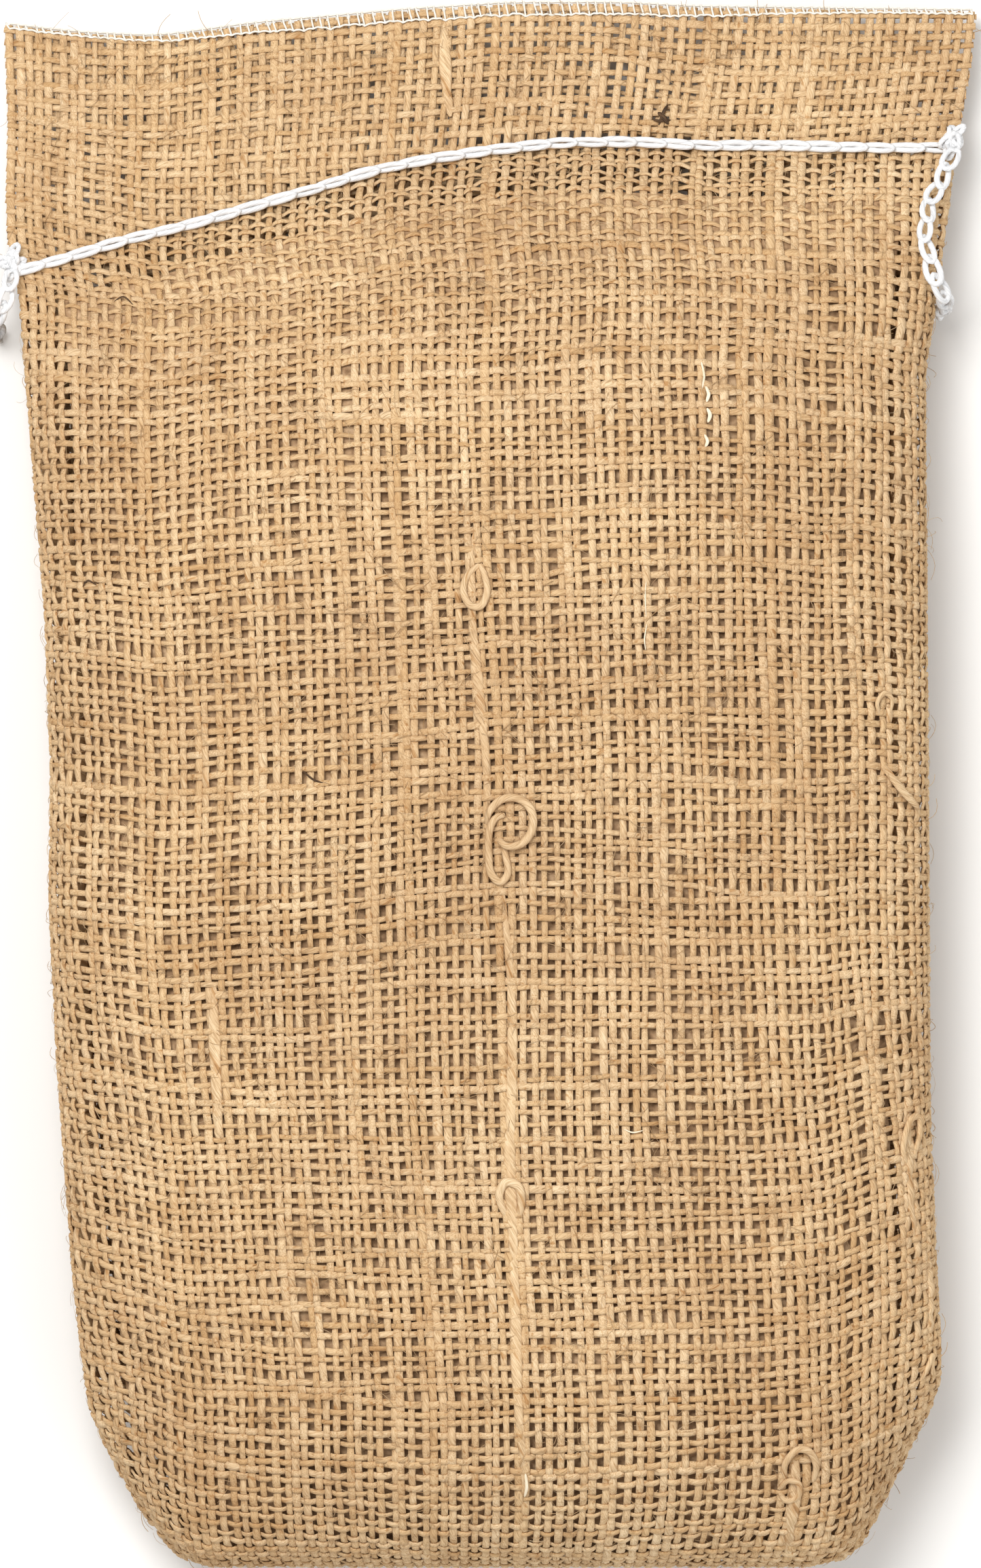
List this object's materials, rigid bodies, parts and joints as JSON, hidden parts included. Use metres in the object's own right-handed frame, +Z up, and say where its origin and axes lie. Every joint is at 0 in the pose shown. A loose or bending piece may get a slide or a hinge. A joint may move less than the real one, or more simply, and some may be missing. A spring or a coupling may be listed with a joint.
{
  "type": "hessian race sack",
  "caption": "Filled jute hessian sack lying on its back, its mouth sewn shut by an aslant white chain stitch under a flat two-ply heading with an overlocked edge.",
  "frame": {"origin": "on the ground under the middle of the sack as it lies on its back", "axes": "+Y from the bottom fold to the mouth, +Z up out of the front face, +X to the right seen from the front"},
  "size_m": [0.3124, 0.4809, 0.0844],
  "materials": {
    "jute": "matt, hairy plain weave of natural jute",
    "cotton_thread": "matt, soft twisted white cotton",
    "jute_twine": "matt, hard twisted jute twine",
    "filling": "matt, dark loose fibre"
  },
  "bodies": {
    "sack": {"filling": "filling", "front_panel": "jute", "back_panel": "jute", "left_side_seam": "jute", "right_side_seam": "jute", "left_seam_thread": "jute_twine", "right_seam_thread": "jute_twine", "left_corner_tuck": "jute", "right_corner_tuck": "jute", "heading_root_back": "jute", "heading_root_front": "jute", "closing_chain": "cotton_thread", "closing_stitches_back": "cotton_thread", "left_chain_knot": "cotton_thread", "right_chain_knot": "cotton_thread", "left_chain_tail": "cotton_thread", "right_chain_tail": "cotton_thread"},
    "heading_back": {"heading_back_ply": "jute", "mouth_overlock_back": "cotton_thread"},
    "heading_front": {"heading_front_ply": "jute", "mouth_overlock_front": "cotton_thread"}
  },
  "joints": [
    {"name": "heading_fold", "type": "hinge", "parent": "sack", "child": "heading_back", "pos_m": [-0.00156, 0.20068, 0.01426], "axis": [0.9914, 0.1309, 0], "range_deg": [0, 90]},
    {"name": "mouth_open", "type": "hinge", "parent": "heading_back", "child": "heading_front", "pos_m": [-0.00156, 0.20068, 0.01426], "axis": [0.9914, 0.1309, 0], "range_deg": [0, 25]}
  ]
}
